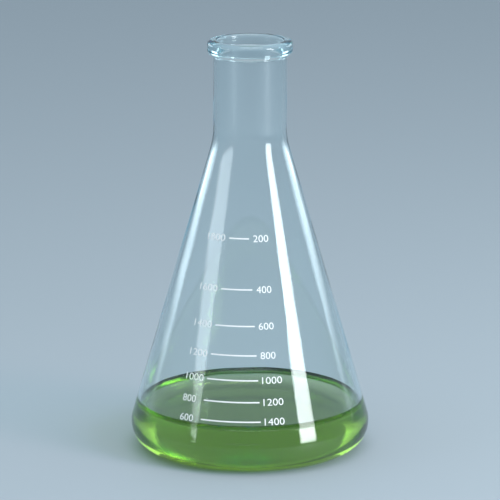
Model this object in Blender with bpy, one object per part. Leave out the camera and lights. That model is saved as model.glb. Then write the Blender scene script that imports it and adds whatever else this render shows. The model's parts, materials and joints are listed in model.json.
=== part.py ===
"""A two-litre narrow-mouth Erlenmeyer flask, a quarter full, with its fired enamel scale.

Metres, +Z up. The origin is the centre of the base, on the surface that the flask stands on,
and the scale faces -Y. The vessel is one piece of blown borosilicate glass.
"""

import math

import bmesh
import bpy
from mathutils import Vector

# The vessel's outside.
HEIGHT = 0.280
BODY_RADIUS = 0.081  # widest, just above the heel
NECK_RADIUS = 0.0245
RIM_RADIUS = 0.0285
HEEL_RADIUS = 0.018  # round between the base and the cone
SHOULDER_HEIGHT = 0.214  # where the cone's line would meet the neck's
SHOULDER_RADIUS = 0.060
BEAD_HEIGHT = 0.271  # underside of the rim's bead
BEAD_DROP = 0.0010  # how much lower the bead's underside is at the neck
BEAD_FILLET = 0.0022
BEAD_UNDER_ROUND = 0.0024
BEAD_TOP_ROUND = 0.0028
MOUTH_ROUND = 0.0014

# The vessel's walls and base.
WALL = 0.0026
NECK_WALL = 0.0023
FLOOR = 0.0036
INNER_HEEL_RADIUS = 0.014
RING_INNER_RADIUS = 0.056  # the base stands on a flat ring outside this
DISH = 0.0018  # rise of the base's middle, inside and out

# What the vessel holds, and its scale, in cubic metres.
CAPACITY = 0.002
CONTENTS = 0.0005
FIRST_MARK = 0.0006
MARK_STEP = 0.0002
MARK_COUNT = 7

# The enamel scale.
LINE_LENGTH = 0.0404  # the lowest line
LINE_SHORTENING = 0.8  # length that a line loses for each unit of radius that the cone loses
LINE_HEIGHT = 0.0009
DIGIT_HEIGHT = 0.0046
DIGIT_WIDTH = 0.0028
DIGIT_PITCH = 0.0033
WIDEST_NUMERAL_DIGITS = 4
NUMERAL_GAP = 0.0029  # between a line's end and its numerals
ENAMEL = 0.0004

GAP = 0.0003  # between pieces that touch
TURN_STEPS = 64
ARC_STEP = math.radians(12)
PATCH_STEP = math.radians(3)

# Colour, roughness, metallic and transmission of each finish.
FINISHES = {
    "clear_glass": ((0.90, 0.96, 0.97, 1.0), 0.02, 0.0, 1.0),
    "green_medium": ((0.30, 0.62, 0.10, 1.0), 0.05, 0.0, 0.6),
    "white_enamel": ((0.90, 0.92, 0.92, 1.0), 0.45, 0.0, 0.0),
}


def finish(name):
    """The material of this name, made once."""
    if name in bpy.data.materials:
        return bpy.data.materials[name]
    colour, roughness, metallic, transmission = FINISHES[name]
    material = bpy.data.materials.new(name)
    material.use_nodes = True
    shader = material.node_tree.nodes["Principled BSDF"]
    shader.inputs["Base Color"].default_value = colour
    shader.inputs["Roughness"].default_value = roughness
    shader.inputs["Metallic"].default_value = metallic
    shader.inputs["Transmission Weight"].default_value = transmission
    material.diffuse_color = colour
    return material


def new_object(name, bm, finish_name):
    """An object from a bmesh, with its finish."""
    mesh = bpy.data.meshes.new(name)
    bm.to_mesh(mesh)
    bm.free()
    mesh.materials.append(finish(finish_name))
    piece = bpy.data.objects.new(name, mesh)
    bpy.context.scene.collection.objects.link(piece)
    return piece


# Outlines are (radius, height) points.


def cone_line():
    """The cone's lean, and how far its line is from the origin.

    The line touches the heel's circle and passes through the shoulder's corner.
    """
    heel_centre = Vector((BODY_RADIUS - HEEL_RADIUS, HEEL_RADIUS))
    shoulder = Vector((NECK_RADIUS, SHOULDER_HEIGHT))
    across = shoulder - heel_centre
    lean = math.atan2(-across.x, across.y) + math.asin(HEEL_RADIUS / across.length)
    return lean, shoulder.x * math.cos(lean) + shoulder.y * math.sin(lean)


LEAN, REACH = cone_line()


def cone_radius(height, inset=0.0):
    """Radius of the cone's line at a height, moved in from the outside by inset."""
    return (REACH - inset - height * math.sin(LEAN)) / math.cos(LEAN)


def cone_height(radius, inset=0.0):
    """Height at which the cone's line has this radius."""
    return (REACH - inset - radius * math.cos(LEAN)) / math.sin(LEAN)


def rounded(corners):
    """Points along straight runs between (radius, height, round) corners, each corner an arc."""
    points = [Vector(corners[0][:2])]
    for before, corner, after in zip(corners, corners[1:], corners[2:]):
        tip = Vector(corner[:2])
        back = (Vector(before[:2]) - tip).normalized()
        ahead = (Vector(after[:2]) - tip).normalized()
        half_angle = back.angle(ahead) / 2
        reach = corner[2] / math.tan(half_angle)
        centre = tip + (back + ahead).normalized() * corner[2] / math.sin(half_angle)
        start = tip + back * reach - centre
        turn = start.angle_signed(tip + ahead * reach - centre)
        steps = max(1, math.ceil(abs(turn) / ARC_STEP))
        for step in range(steps + 1):
            angle = -turn * step / steps
            cos, sin = math.cos(angle), math.sin(angle)
            points.append(centre + Vector((start.x * cos - start.y * sin, start.x * sin + start.y * cos)))
    points.append(Vector(corners[-1][:2]))
    return points


def dish(edge_height, steps=3):
    """The base's shallow dome, from its middle out to the ring."""
    sphere = (RING_INNER_RADIUS**2 + DISH**2) / (2 * DISH)
    widest = math.asin(RING_INNER_RADIUS / sphere)
    angles = [widest * step / steps for step in range(steps + 1)]
    fall = sphere * math.cos(widest)
    return [Vector((sphere * math.sin(a), edge_height + sphere * math.cos(a) - fall)) for a in angles]


def outside():
    """The vessel's outside, from the middle of its base up to the flat on the rim."""
    return dish(0) + rounded(
        [
            (RING_INNER_RADIUS, 0, 0),
            (cone_radius(0), 0, HEEL_RADIUS),
            (NECK_RADIUS, SHOULDER_HEIGHT, SHOULDER_RADIUS),
            (NECK_RADIUS, BEAD_HEIGHT - BEAD_DROP, BEAD_FILLET),
            (RIM_RADIUS, BEAD_HEIGHT, BEAD_UNDER_ROUND),
            (RIM_RADIUS, HEIGHT, BEAD_TOP_ROUND),
            (NECK_RADIUS, HEIGHT, 0),
        ]
    )[1:-1]


def inside(inset=0.0):
    """The vessel's inside, from the middle of its floor up to the mouth, moved in by inset."""
    bore = NECK_RADIUS - NECK_WALL - inset
    floor = FLOOR + inset
    wall = WALL + inset
    return dish(floor) + rounded(
        [
            (RING_INNER_RADIUS, floor, 0),
            (cone_radius(floor, wall), floor, INNER_HEEL_RADIUS - inset),
            (bore, cone_height(bore, wall), SHOULDER_RADIUS + NECK_WALL + inset),
            (bore, HEIGHT, MOUTH_ROUND),
            (NECK_RADIUS, HEIGHT, 0),
        ]
    )[1:-1]


def slice_volume(low, high):
    """Volume between two outline points, turned about Z."""
    rise = high.y - low.y
    return math.pi * rise * (low.x**2 + low.x * high.x + high.x**2) / 3


def fill_height(volume):
    """Height of a liquid's surface in the vessel. Every level asked for is in the heel or the cone."""
    held = -math.pi * DISH * (3 * RING_INNER_RADIUS**2 + DISH**2) / 6
    wall = [point for point in inside() if point.x >= RING_INNER_RADIUS or point.y > HEEL_RADIUS]
    for low, high in zip(wall, wall[1:]):
        more = slice_volume(low, high)
        if held + more >= volume:
            taper = (low.x - high.x) / (high.y - low.y)
            radius = (low.x**3 - 3 * taper * (volume - held) / math.pi) ** (1 / 3)
            return low.y + (low.x - radius) / taper
        held += more
    raise ValueError("the vessel does not hold this volume")


def turned(name, outline, finish_name):
    """A solid of revolution about Z."""
    bm = bmesh.new()
    verts = [bm.verts.new((point.x, 0, point.y)) for point in outline]
    edges = [bm.edges.new(pair) for pair in zip(verts, verts[1:])]
    bmesh.ops.spin(
        bm, geom=verts + edges, axis=(0, 0, 1), cent=(0, 0, 0), angle=math.tau, steps=TURN_STEPS
    )
    bmesh.ops.remove_doubles(bm, verts=bm.verts, dist=1e-6)
    bmesh.ops.recalc_face_normals(bm, faces=bm.faces)
    piece = new_object(name, bm, finish_name)
    piece.data.shade_smooth()
    piece.data.set_sharp_from_angle(angle=math.radians(40))
    return piece


def cone_point(along, height, radius_there):
    """A point just off the glass, an arc length along from the scale's middle."""
    angle = along / radius_there
    radius = cone_radius(height) + GAP
    return Vector((radius * math.sin(angle), -radius * math.cos(angle), height))


def enamel_patch(name, start, width, middle_height, height):
    """A patch of enamel that follows the cone, from start rightwards."""
    radius_there = cone_radius(middle_height)
    columns = math.ceil(width / radius_there / PATCH_STEP)
    half_rise = height * math.cos(LEAN) / 2
    bm = bmesh.new()
    pairs = []
    for column in range(columns + 1):
        along = start + width * column / columns
        low = bm.verts.new(cone_point(along, middle_height - half_rise, radius_there))
        high = bm.verts.new(cone_point(along, middle_height + half_rise, radius_there))
        pairs.append((low, high))
    for (low, high), (next_low, next_high) in zip(pairs, pairs[1:]):
        bm.faces.new((low, next_low, next_high, high))
    patch = new_object(name, bm, "white_enamel")
    thicken = patch.modifiers.new("thickness", "SOLIDIFY")
    thicken.thickness = ENAMEL
    thicken.offset = 1
    return patch


def graduation(held):
    """One mark of the scale: its line, the volume held on the left and the volume free on the right."""
    height = fill_height(held)
    radius = cone_radius(height)
    lowest_radius = cone_radius(fill_height(FIRST_MARK))
    length = LINE_LENGTH - LINE_SHORTENING * (lowest_radius - radius)
    millilitres = round(held * 1e6)
    free = round((CAPACITY - held) * 1e6)
    column = (WIDEST_NUMERAL_DIGITS - 1) * DIGIT_PITCH + DIGIT_WIDTH
    enamel_patch(f"graduation_line_{millilitres:04d}", -length / 2, length, height, LINE_HEIGHT)
    for name, start, number in (
        ("volume_numeral", -length / 2 - NUMERAL_GAP - column, millilitres),
        ("headspace_numeral", length / 2 + NUMERAL_GAP, free),
    ):
        width = (len(str(number)) - 1) * DIGIT_PITCH + DIGIT_WIDTH
        enamel_patch(f"{name}_{number:04d}", start, width, height, DIGIT_HEIGHT)


def vessel():
    """The blown glass: cone, neck, beaded rim and dished base in one piece."""
    return turned("glass_body", outside() + inside()[::-1], "clear_glass")


def medium():
    """The liquid culture medium, up to its level surface."""
    level = fill_height(CONTENTS)
    wetted = [point for point in inside(GAP) if point.y < level]
    edge = Vector((cone_radius(level, WALL + GAP), level))
    return turned("culture_medium", wetted + [edge, Vector((0, level))], "green_medium")


for old in list(bpy.data.objects):
    bpy.data.objects.remove(old, do_unlink=True)

vessel()
medium()
for mark in range(MARK_COUNT):
    graduation(FIRST_MARK + mark * MARK_STEP)
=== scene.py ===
import json
import math

import bpy
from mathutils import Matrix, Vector

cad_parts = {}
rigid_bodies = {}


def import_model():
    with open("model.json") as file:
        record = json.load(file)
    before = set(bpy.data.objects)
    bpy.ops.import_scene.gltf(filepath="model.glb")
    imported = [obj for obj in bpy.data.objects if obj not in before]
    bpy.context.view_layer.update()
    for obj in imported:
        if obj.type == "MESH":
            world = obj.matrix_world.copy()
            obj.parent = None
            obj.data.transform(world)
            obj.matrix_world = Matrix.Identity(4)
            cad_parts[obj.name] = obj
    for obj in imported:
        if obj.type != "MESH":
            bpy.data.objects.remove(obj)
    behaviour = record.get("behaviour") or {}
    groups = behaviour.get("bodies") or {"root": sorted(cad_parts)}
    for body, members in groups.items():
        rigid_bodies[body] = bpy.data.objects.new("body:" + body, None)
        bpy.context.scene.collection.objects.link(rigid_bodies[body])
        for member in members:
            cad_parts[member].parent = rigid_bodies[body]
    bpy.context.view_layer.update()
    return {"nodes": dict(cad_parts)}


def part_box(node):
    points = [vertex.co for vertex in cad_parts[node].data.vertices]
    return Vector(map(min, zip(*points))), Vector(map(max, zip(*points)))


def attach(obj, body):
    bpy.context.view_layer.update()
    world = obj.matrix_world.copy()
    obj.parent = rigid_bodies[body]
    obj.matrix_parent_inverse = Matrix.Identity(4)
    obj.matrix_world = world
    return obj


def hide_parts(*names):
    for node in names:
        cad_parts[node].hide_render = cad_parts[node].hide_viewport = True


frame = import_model()


# The vessel. One piece of clear borosilicate glass, blown in a mould: a dished base on a flat
# ring, a rounded heel, a cone and a neck. The mouth is fire-polished into a bead. Its
# half-section is drawn as a wire with a pen, and spun about the flask's axis.

body_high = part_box("glass_body")[1]
BODY_RADIUS = body_high.x
HEIGHT = body_high.z
NECK_RADIUS = 0.0245
RIM_RADIUS = 0.0285
HEEL_RADIUS = 0.018
SHOULDER_HEIGHT = 0.214  # where the cone's line would meet the neck's
SHOULDER_RADIUS = 0.060
BEAD_HEIGHT = 0.271
BEAD_DROP = 0.0010  # how much lower the bead's underside is at the neck
BEAD_FILLET = 0.0022
BEAD_UNDER_ROUND = 0.0026
BEAD_TOP_ROUND = 0.0032
MOUTH_ROUND = 0.0016
WALL = 0.0026
NECK_WALL = 0.0023
FLOOR = 0.0036
INNER_HEEL_RADIUS = 0.014
RING_RADIUS = 0.056  # the base stands on a flat ring outside this
DISH = 0.0018  # rise of the base's middle, inside and out
BORE = NECK_RADIUS - NECK_WALL
DOUBLES = 1e-6  # vertices nearer than this are one
TURN_STEPS = 192
ARC_STEP = math.radians(4)
STRAIGHT_STEP = 0.005

heel_centre = Vector((BODY_RADIUS - HEEL_RADIUS, HEEL_RADIUS))
shoulder_corner = Vector((NECK_RADIUS, SHOULDER_HEIGHT))
across = shoulder_corner - heel_centre
CONE_LEAN = math.atan2(-across.x, across.y) + math.asin(HEEL_RADIUS / across.length)
CONE_REACH = shoulder_corner.dot(Vector((math.cos(CONE_LEAN), math.sin(CONE_LEAN))))


def cone_radius(height, inset=0.0):
    """Radius of the cone at a height, moved in from its outside by inset."""
    return (CONE_REACH - inset - height * math.sin(CONE_LEAN)) / math.cos(CONE_LEAN)


def cone_height(radius, inset=0.0):
    """Height at which the cone has this radius."""
    return (CONE_REACH - inset - radius * math.cos(CONE_LEAN)) / math.sin(CONE_LEAN)


def pen_down(name, here):
    """A new mesh in edit mode with one selected vertex, the pen that draws a half-section."""
    bpy.ops.object.select_all(action="DESELECT")
    bpy.ops.mesh.primitive_plane_add(size=STRAIGHT_STEP)
    section = bpy.context.object
    section.name = section.data.name = name
    bpy.ops.object.mode_set(mode="EDIT")
    bpy.ops.mesh.merge(type="CENTER")
    bpy.ops.transform.translate(value=(here.x, 0, here.y))
    return section


def pen_to(here, there):
    """Extrudes the pen to a point in one step."""
    step = there - here
    bpy.ops.mesh.extrude_region_move(TRANSFORM_OT_translate={"value": (step.x, 0, step.y)})
    return there


def pen_line(here, there):
    """Extrudes the pen straight to a point, in short steps."""
    steps = max(1, math.ceil((there - here).length / STRAIGHT_STEP))
    start = here
    for step in range(1, steps + 1):
        here = pen_to(here, start.lerp(there, step / steps))
    return there


def pen_arc(here, centre, turn):
    """Spins the pen about a centre, anticlockwise for a positive turn."""
    steps = max(1, math.ceil(abs(turn) / ARC_STEP))
    bpy.ops.mesh.spin(steps=steps, angle=turn, center=(centre.x, 0, centre.y), axis=(0, 1, 0))
    arm = here - centre
    cos, sin = math.cos(turn), math.sin(turn)
    return centre + Vector((arm.x * cos - arm.y * sin, arm.x * sin + arm.y * cos))


def pen_corners(here, corners):
    """Draws straight runs through (radius, height, round) corners, up to the last one."""
    for corner, after in zip(corners, corners[1:]):
        tip = Vector(corner[:2])
        back = (here - tip).normalized()
        ahead = (Vector(after[:2]) - tip).normalized()
        half_angle = back.angle(ahead) / 2
        reach = corner[2] / math.tan(half_angle)
        centre = tip + (back + ahead).normalized() * corner[2] / math.sin(half_angle)
        here = pen_line(here, tip + back * reach)
        turn = -(here - centre).angle_signed(tip + ahead * reach - centre)
        here = pen_arc(here, centre, turn)
    return pen_line(here, Vector(corners[-1][:2]))


DOME_RADIUS = (RING_RADIUS**2 + DISH**2) / (2 * DISH)
DOME_TURN = math.asin(RING_RADIUS / DOME_RADIUS)


def pen_dome_out(here):
    """Draws the base's shallow dome from its middle out to the ring."""
    return pen_arc(here, Vector((0, here.y - DOME_RADIUS)), -DOME_TURN)


def pen_dome_in(here):
    """Draws the floor's shallow dome from the ring in to its middle."""
    return pen_arc(here, Vector((0, here.y - DOME_RADIUS * math.cos(DOME_TURN))), DOME_TURN)


def spin_round(section):
    """Turns the drawn half-section about Z into a closed, smooth solid."""
    bpy.ops.mesh.select_all(action="SELECT")
    bpy.ops.mesh.spin(steps=TURN_STEPS, angle=math.tau, center=(0, 0, 0), axis=(0, 0, 1))
    bpy.ops.mesh.select_all(action="SELECT")
    bpy.ops.mesh.remove_doubles(threshold=DOUBLES)
    bpy.ops.mesh.normals_make_consistent(inside=False)
    bpy.ops.object.mode_set(mode="OBJECT")
    bpy.ops.object.shade_smooth()


pen = Vector((0, DISH))
vessel = pen_down("flask_glass", pen)
pen = pen_dome_out(pen)
pen = pen_corners(
    pen,
    [
        (cone_radius(0), 0, HEEL_RADIUS),
        (NECK_RADIUS, SHOULDER_HEIGHT, SHOULDER_RADIUS),
        (NECK_RADIUS, BEAD_HEIGHT - BEAD_DROP, BEAD_FILLET),
        (RIM_RADIUS, BEAD_HEIGHT, BEAD_UNDER_ROUND),
        (RIM_RADIUS, HEIGHT, BEAD_TOP_ROUND),
        (BORE, HEIGHT, MOUTH_ROUND),
        (BORE, BEAD_HEIGHT, 0),
    ],
)

# Every vertex drawn from here on is on the inside, and takes this group from the one before.
vessel.vertex_groups.new(name="inside")
bpy.ops.object.vertex_group_assign()
pen = pen_corners(
    pen,
    [
        (BORE, cone_height(BORE, WALL), SHOULDER_RADIUS + NECK_WALL),
        (cone_radius(FLOOR, WALL), FLOOR, INNER_HEEL_RADIUS),
        (RING_RADIUS, FLOOR, 0),
    ],
)
pen_dome_in(pen)
spin_round(vessel)

# The mould shapes only the outside, so the inside of a blown wall is slightly uneven.
UNEVENNESS = 0.0003
UNEVEN_LENGTH = 0.045
hills = bpy.data.textures.new("blown_unevenness", "CLOUDS")
hills.noise_scale = UNEVEN_LENGTH
hills.noise_depth = 1
uneven = vessel.modifiers.new("uneven_inside", "DISPLACE")
uneven.texture = hills
uneven.texture_coords = "LOCAL"
uneven.strength = UNEVENNESS
uneven.mid_level = 0.5
uneven.vertex_group = "inside"
bpy.ops.object.modifier_apply(modifier="uneven_inside")


def make_unevenness():
    """The group that glass, medium and enamel share.

    Wave is a slow swell and Smear is a fine patchy film, both from 0 to 1. Each material gives
    them its own scale and strength.
    """
    group = bpy.data.node_groups.new("unevenness", "ShaderNodeTree")
    for name, scale in (("Wave Scale", 18.0), ("Smear Scale", 40.0)):
        socket = group.interface.new_socket(name, in_out="INPUT", socket_type="NodeSocketFloat")
        socket.default_value = scale
    for name in ("Wave", "Smear"):
        group.interface.new_socket(name, in_out="OUTPUT", socket_type="NodeSocketFloat")
    nodes, links = group.nodes, group.links
    given = nodes.new("NodeGroupInput")
    result = nodes.new("NodeGroupOutput")
    place = nodes.new("ShaderNodeTexCoord").outputs["Object"]

    wave = nodes.new("ShaderNodeTexNoise")
    wave.inputs["Detail"].default_value = 1.0
    links.new(place, wave.inputs["Vector"])
    links.new(given.outputs["Wave Scale"], wave.inputs["Scale"])
    links.new(wave.outputs["Fac"], result.inputs["Wave"])

    stretch = nodes.new("ShaderNodeMapping")
    stretch.inputs["Scale"].default_value = (1.0, 1.0, 0.35)
    smear = nodes.new("ShaderNodeTexNoise")
    smear.inputs["Detail"].default_value = 6.0
    smear.inputs["Roughness"].default_value = 0.65
    smear.inputs["Distortion"].default_value = 0.8
    patches = nodes.new("ShaderNodeMapRange")
    patches.inputs["From Min"].default_value = 0.50
    patches.inputs["From Max"].default_value = 0.75
    links.new(place, stretch.inputs["Vector"])
    links.new(stretch.outputs["Vector"], smear.inputs["Vector"])
    links.new(given.outputs["Smear Scale"], smear.inputs["Scale"])
    links.new(smear.outputs["Fac"], patches.inputs["Value"])
    links.new(patches.outputs["Result"], result.inputs["Smear"])
    return group


unevenness = make_unevenness()


def new_material(name):
    """A material, its Principled shader, and the shared group placed beside it."""
    material = bpy.data.materials.new(name)
    material.use_nodes = True
    nodes = material.node_tree.nodes
    group = nodes.new("ShaderNodeGroup")
    group.node_tree = unevenness
    return material, nodes["Principled BSDF"], group


def between(material, mask, low, high):
    """A value that goes from low to high as a mask goes from 0 to 1."""
    span = material.node_tree.nodes.new("ShaderNodeMapRange")
    span.inputs["To Min"].default_value = low
    span.inputs["To Max"].default_value = high
    material.node_tree.links.new(mask, span.inputs["Value"])
    return span.outputs["Result"]


def blend_colours(material, mask, first, second):
    """A colour that goes from the first to the second as a mask goes from 0 to 1."""
    blend = material.node_tree.nodes.new("ShaderNodeMix")
    blend.data_type = "RGBA"
    factor, first_colour, second_colour = blend.inputs[0], blend.inputs[6], blend.inputs[7]
    first_colour.default_value = (*first, 1.0)
    second_colour.default_value = (*second, 1.0)
    material.node_tree.links.new(mask, factor)
    return blend.outputs[2]


def add_relief(material, shader, height, strength, distance):
    """Feeds a height through a Bump node to the shader's Normal."""
    bump = material.node_tree.nodes.new("ShaderNodeBump")
    bump.inputs["Strength"].default_value = strength
    bump.inputs["Distance"].default_value = distance
    material.node_tree.links.new(height, bump.inputs["Height"])
    material.node_tree.links.new(bump.outputs["Normal"], shader.inputs["Normal"])


def let_light_through(material, shader, tint):
    """Lets shadow rays pass a clear material, tinted, so that light reaches what is behind it."""
    nodes, links = material.node_tree.nodes, material.node_tree.links
    path = nodes.new("ShaderNodeLightPath")
    open_way = nodes.new("ShaderNodeBsdfTransparent")
    open_way.inputs["Color"].default_value = (*tint, 1.0)
    mix = nodes.new("ShaderNodeMixShader")
    links.new(path.outputs["Is Shadow Ray"], mix.inputs["Fac"])
    links.new(shader.outputs["BSDF"], mix.inputs[1])
    links.new(open_way.outputs["BSDF"], mix.inputs[2])
    links.new(mix.outputs["Shader"], nodes["Material Output"].inputs["Surface"])


def add_depth_colour(material, colour, density):
    """Colours a clear material by how far light goes through it."""
    nodes = material.node_tree.nodes
    absorption = nodes.new("ShaderNodeVolumeAbsorption")
    absorption.inputs["Color"].default_value = (*colour, 1.0)
    absorption.inputs["Density"].default_value = density
    output = nodes["Material Output"]
    material.node_tree.links.new(absorption.outputs["Volume"], output.inputs["Volume"])


def borosilicate_glass():
    """Clear laboratory glass, faintly aqua where light goes a long way through it."""
    material, shader, group = new_material("borosilicate_glass")
    shader.inputs["Base Color"].default_value = (0.97, 0.99, 0.995, 1.0)
    shader.inputs["Transmission Weight"].default_value = 1.0
    shader.inputs["IOR"].default_value = 1.473
    film = between(material, group.outputs["Smear"], 0.0, 0.05)
    material.node_tree.links.new(film, shader.inputs["Roughness"])
    add_relief(material, shader, group.outputs["Wave"], strength=0.15, distance=0.002)
    let_light_through(material, shader, tint=(0.93, 0.97, 0.98))
    add_depth_colour(material, colour=(0.42, 0.84, 0.92), density=32.0)
    return material


vessel.data.materials.append(borosilicate_glass())
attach(vessel, "root")
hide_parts("glass_body")


# The medium. A clear yellow-green broth that fills a quarter of the flask. It wets the wall
# all round and climbs it a little, in a meniscus. Its surface is level, as at rest.

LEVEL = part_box("culture_medium")[1].z
WETTED = 0.00025  # how far its outside goes into the glass, so that no air is left between
MENISCUS_RISE = 0.0026
MENISCUS_REACH = 0.0042
MENISCUS_STEPS = 8

wetted_wall = WALL - WETTED
wetted_floor = FLOOR - WETTED
lip = Vector((cone_radius(LEVEL + MENISCUS_RISE, wetted_wall), LEVEL + MENISCUS_RISE))
pen = Vector((0, wetted_floor + DISH))
medium = pen_down("flask_medium", pen)
pen = pen_dome_out(pen)
pen = pen_corners(
    pen,
    [
        (cone_radius(wetted_floor, wetted_wall), wetted_floor, INNER_HEEL_RADIUS + WETTED),
        (lip.x, lip.y, 0),
    ],
)
for step in range(1, MENISCUS_STEPS + 1):
    climb = 1 - step / MENISCUS_STEPS
    outward = lip.x - MENISCUS_REACH * (1 - climb)
    pen = pen_to(pen, Vector((outward, LEVEL + MENISCUS_RISE * climb**3)))
pen_line(pen, Vector((0, LEVEL)))
spin_round(medium)


def culture_broth():
    """The medium's material: yellow-green, and deeper where it is thick."""
    material, shader, group = new_material("culture_broth")
    group.inputs["Wave Scale"].default_value = 25.0
    tone = blend_colours(material, group.outputs["Wave"], (0.96, 0.98, 0.88), (0.90, 0.95, 0.77))
    material.node_tree.links.new(tone, shader.inputs["Base Color"])
    shader.inputs["Roughness"].default_value = 0.0
    shader.inputs["Transmission Weight"].default_value = 1.0
    shader.inputs["IOR"].default_value = 1.333
    let_light_through(material, shader, tint=(0.68, 0.73, 0.50))
    add_depth_colour(material, colour=(0.775, 0.855, 0.40), density=36.0)
    return material


medium.data.materials.append(culture_broth())
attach(medium, "root")
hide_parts("culture_medium")


# The scale's lines. Seven bars of white enamel, screen-printed on the outside of the cone and
# fired into the glass, one for each step of the volume held.

ENAMEL_SUNK = 0.00005
ENAMEL_PROUD = 0.00006
ENAMEL_THICKNESS = ENAMEL_SUNK + ENAMEL_PROUD
ENAMEL_MIDDLE = (ENAMEL_SUNK - ENAMEL_PROUD) / 2
LINE_HEIGHT = 0.0009
LINE_BEND = math.radians(1)  # the most that a straight step of a line turns


def printed_stretch(node):
    """Where a CAD enamel patch starts and ends along the cone's round, and its height."""
    low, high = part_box(node)
    height = (low.z + high.z) / 2
    there = cone_radius(height)
    return math.asin(low.x / there) * there, math.asin(high.x / there) * there, height


def wrap_on_cone(piece, height):
    """Bends a flat piece onto the cone. It is drawn in X and Z, with its thickness in Y."""
    there = cone_radius(height)
    for vertex in piece.data.vertices:
        along, depth, rise = vertex.co
        vertex_height = height + rise * math.cos(CONE_LEAN)
        radius = cone_radius(vertex_height) - depth
        angle = along / there
        vertex.co = (radius * math.sin(angle), -radius * math.cos(angle), vertex_height)


def white_enamel():
    """Fired white enamel, a little uneven where the screen printed it thin."""
    material, shader, group = new_material("white_enamel")
    links = material.node_tree.links
    group.inputs["Smear Scale"].default_value = 900.0
    thin = group.outputs["Smear"]
    tone = blend_colours(material, thin, (0.95, 0.96, 0.96), (0.80, 0.84, 0.85))
    links.new(tone, shader.inputs["Base Color"])
    links.new(between(material, thin, 0.38, 0.60), shader.inputs["Roughness"])
    add_relief(material, shader, thin, strength=0.3, distance=0.00005)
    return material


enamel = white_enamel()


def fire_on(piece, node):
    """Gives an enamel piece its finish, and puts it in the place of its CAD patch."""
    piece.data.materials.clear()
    piece.data.materials.append(enamel)
    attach(piece, "root")
    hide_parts(node)


for node in sorted(name for name in frame["nodes"] if name.startswith("graduation_line_")):
    start, end, height = printed_stretch(node)
    bpy.ops.object.select_all(action="DESELECT")
    bpy.ops.mesh.primitive_cube_add(size=1, location=((start + end) / 2, ENAMEL_MIDDLE, 0))
    line = bpy.context.object
    line.name = line.data.name = node.replace("graduation_line", "enamel_line")
    line.scale = (end - start, ENAMEL_THICKNESS, LINE_HEIGHT)
    bpy.ops.object.transform_apply(location=True, rotation=False, scale=True)
    bpy.ops.object.mode_set(mode="EDIT")
    bpy.ops.mesh.select_mode(type="EDGE")
    bpy.ops.mesh.select_all(action="DESELECT")
    bpy.ops.object.mode_set(mode="OBJECT")
    for edge in line.data.edges:
        one, other = (line.data.vertices[index].co for index in edge.vertices)
        edge.select = abs(one.x - other.x) > LINE_HEIGHT
    bpy.ops.object.mode_set(mode="EDIT")
    bends = math.ceil((end - start) / cone_radius(height) / LINE_BEND)
    bpy.ops.mesh.subdivide(number_cuts=bends)
    bpy.ops.object.mode_set(mode="OBJECT")
    wrap_on_cone(line, height)
    fire_on(line, node)


# The scale's numbers, in the same enamel. The left column says how much the flask holds up to
# each line, and the right one how much room is left above it, both in millilitres.

DIGIT_HEIGHT = 0.0046

for node in sorted(name for name in frame["nodes"] if "_numeral_" in name):
    start, end, height = printed_stretch(node)
    bpy.ops.object.select_all(action="DESELECT")
    bpy.ops.object.text_add()
    number = bpy.context.object
    number.data.body = str(int(node.rsplit("_", 1)[1]))
    number.data.size = DIGIT_HEIGHT
    number.data.extrude = ENAMEL_THICKNESS / 2
    bpy.ops.object.convert(target="MESH")
    number = bpy.context.object
    number.name = number.data.name = "enamel_" + node
    number.rotation_euler.x = math.pi / 2
    bpy.ops.object.transform_apply(location=False, rotation=True, scale=False)
    drawn = [vertex.co for vertex in number.data.vertices]
    left, right = min(point.x for point in drawn), max(point.x for point in drawn)
    foot, top = min(point.z for point in drawn), max(point.z for point in drawn)
    for point in drawn:
        point.x = start + (point.x - left) * (end - start) / (right - left)
        point.y += ENAMEL_MIDDLE
        point.z = (point.z - (foot + top) / 2) * DIGIT_HEIGHT / (top - foot)
    wrap_on_cone(number, height)
    fire_on(number, node)


# The table. A pale matt top that the flask stands on. It isn't part of the object, and is wide
# enough to reach the horizon from every side.

TABLE_RADIUS = 8.0

bpy.ops.object.select_all(action="DESELECT")
bpy.ops.mesh.primitive_circle_add(vertices=96, radius=TABLE_RADIUS, fill_type="NGON")
table = bpy.context.object
table.name = table.data.name = "table_top"
table_material = bpy.data.materials.new("pale_table")
table_material.use_nodes = True
table_shader = table_material.node_tree.nodes["Principled BSDF"]
table_shader.inputs["Base Color"].default_value = (0.42, 0.49, 0.54, 1.0)
table_shader.inputs["Roughness"].default_value = 0.6
table.data.materials.append(table_material)


# The lights. A low soft box on the left, wide above and narrow below, and a tall one on the
# right draw the long highlights down the cone. Two behind light its edges, and one above lights
# the enamel.

VIEW_TURN = math.radians(10)  # how far right of the scale's middle the camera stands
AIM_SHARE = 0.486  # of the flask's height, where the camera and the lights point
AIM = Vector((0, 0, HEIGHT * AIM_SHARE))


def around(turn, rise, distance):
    """A place round the flask. Turn is from the camera's side, positive to its right."""
    angle = VIEW_TURN + turn
    level = distance * math.cos(rise)
    return AIM + Vector((level * math.sin(angle), -level * math.cos(angle), distance * math.sin(rise)))


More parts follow.
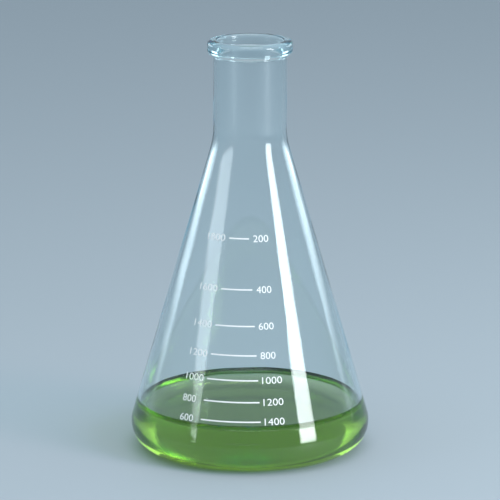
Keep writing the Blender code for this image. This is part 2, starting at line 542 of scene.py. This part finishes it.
def soft_box(name, turn, rise, width, height, radiance, colour, foot=1.0, edge=0.1, distance=2.0):
    """A soft box that faces the flask.

    It is foot times as wide below as above, and fades over edge, a share of its width, at each
    side. The light itself isn't seen, only its reflections.
    """
    lamp = bpy.data.lights.new(name, "AREA")
    lamp.shape = "RECTANGLE"
    lamp.size = width
    lamp.size_y = height
    lamp.energy = radiance * math.pi * width * height
    lamp.color = colour
    lamp.use_nodes = True
    nodes, links = lamp.node_tree.nodes, lamp.node_tree.links
    place = nodes.new("ShaderNodeSeparateXYZ")
    links.new(nodes.new("ShaderNodeNewGeometry").outputs["Parametric"], place.inputs["Vector"])
    up_the_box, across_the_box = place.outputs["X"], place.outputs["Y"]
    half_width = nodes.new("ShaderNodeMapRange")
    half_width.inputs["To Min"].default_value = foot / 2
    half_width.inputs["To Max"].default_value = 0.5
    links.new(up_the_box, half_width.inputs["Value"])
    off_centre = nodes.new("ShaderNodeMath")
    off_centre.operation = "SUBTRACT"
    off_centre.inputs[1].default_value = 0.5
    links.new(across_the_box, off_centre.inputs[0])
    off_either_side = nodes.new("ShaderNodeMath")
    off_either_side.operation = "ABSOLUTE"
    links.new(off_centre.outputs["Value"], off_either_side.inputs[0])
    inside = nodes.new("ShaderNodeMath")
    inside.operation = "SUBTRACT"
    links.new(half_width.outputs["Result"], inside.inputs[0])
    links.new(off_either_side.outputs["Value"], inside.inputs[1])
    fade = nodes.new("ShaderNodeMapRange")
    fade.interpolation_type = "SMOOTHSTEP"
    fade.inputs["From Max"].default_value = edge
    links.new(inside.outputs["Value"], fade.inputs["Value"])
    links.new(fade.outputs["Result"], nodes["Emission"].inputs["Strength"])
    box = bpy.data.objects.new(name, lamp)
    bpy.context.scene.collection.objects.link(box)
    box.location = around(math.radians(turn), math.radians(rise), distance)
    box.rotation_euler = (AIM - box.location).to_track_quat("-Z", "Y").to_euler()
    box.visible_camera = False
    return box


soft_box("left_box", -72, 14, 1.35, 0.50, 3.3, (0.88, 0.96, 1.0), foot=0.12, edge=0.12)
soft_box("right_box", 58, 24, 0.60, 1.50, 12.0, (0.94, 0.98, 1.0))
edge_boxes = [
    soft_box("left_edge_box", -134, 8, 1.20, 0.90, 2.6, (0.78, 0.93, 1.0), edge=0.3),
    soft_box("right_edge_box", 134, 8, 1.20, 0.90, 2.6, (0.78, 0.93, 1.0), edge=0.3),
]
soft_box("top_box", 10, 70, 1.60, 1.60, 2.8, (1.0, 1.0, 1.0), distance=2.2)

# The edge boxes light only the flask, so the table in front of them doesn't glare.
flask_pieces = bpy.data.collections.new("flask_pieces")
for piece in bpy.context.scene.objects:
    if piece.type == "MESH" and piece != table:
        flask_pieces.objects.link(piece)
for box in edge_boxes:
    box.light_linking.receiver_collection = flask_pieces

world = bpy.data.worlds.new("studio")
world.use_nodes = True
world.node_tree.nodes["Background"].inputs["Color"].default_value = (0.53, 0.63, 0.71, 1.0)
world.node_tree.nodes["Background"].inputs["Strength"].default_value = 0.78
bpy.context.scene.world = world
bpy.context.scene.view_settings.view_transform = "Standard"

# Light goes a long way inside a thick rim and base before it comes out. What the glass focuses
# on the table is left out, because the soft shadow already lets the light through.
INSIDE_BOUNCES = 128
bpy.context.scene.cycles.max_bounces = INSIDE_BOUNCES
bpy.context.scene.cycles.glossy_bounces = INSIDE_BOUNCES
bpy.context.scene.cycles.transmission_bounces = INSIDE_BOUNCES
bpy.context.scene.cycles.caustics_refractive = False


# The camera. A long lens, a little above the flask, that fills the frame with it. It looks
# down into the mouth and onto the surface of the medium.

CAMERA_RISE = math.radians(13.3)
CAMERA_DISTANCE = 2.25
CAMERA_LENS = 240
CAMERA_SENSOR = 36

camera = bpy.data.objects.new("camera", bpy.data.cameras.new("camera"))
bpy.context.scene.collection.objects.link(camera)
camera.data.lens = CAMERA_LENS
camera.data.sensor_width = CAMERA_SENSOR
camera.location = around(0, CAMERA_RISE, CAMERA_DISTANCE)
camera.rotation_euler = (AIM - camera.location).to_track_quat("-Z", "Y").to_euler()
bpy.context.scene.camera = camera
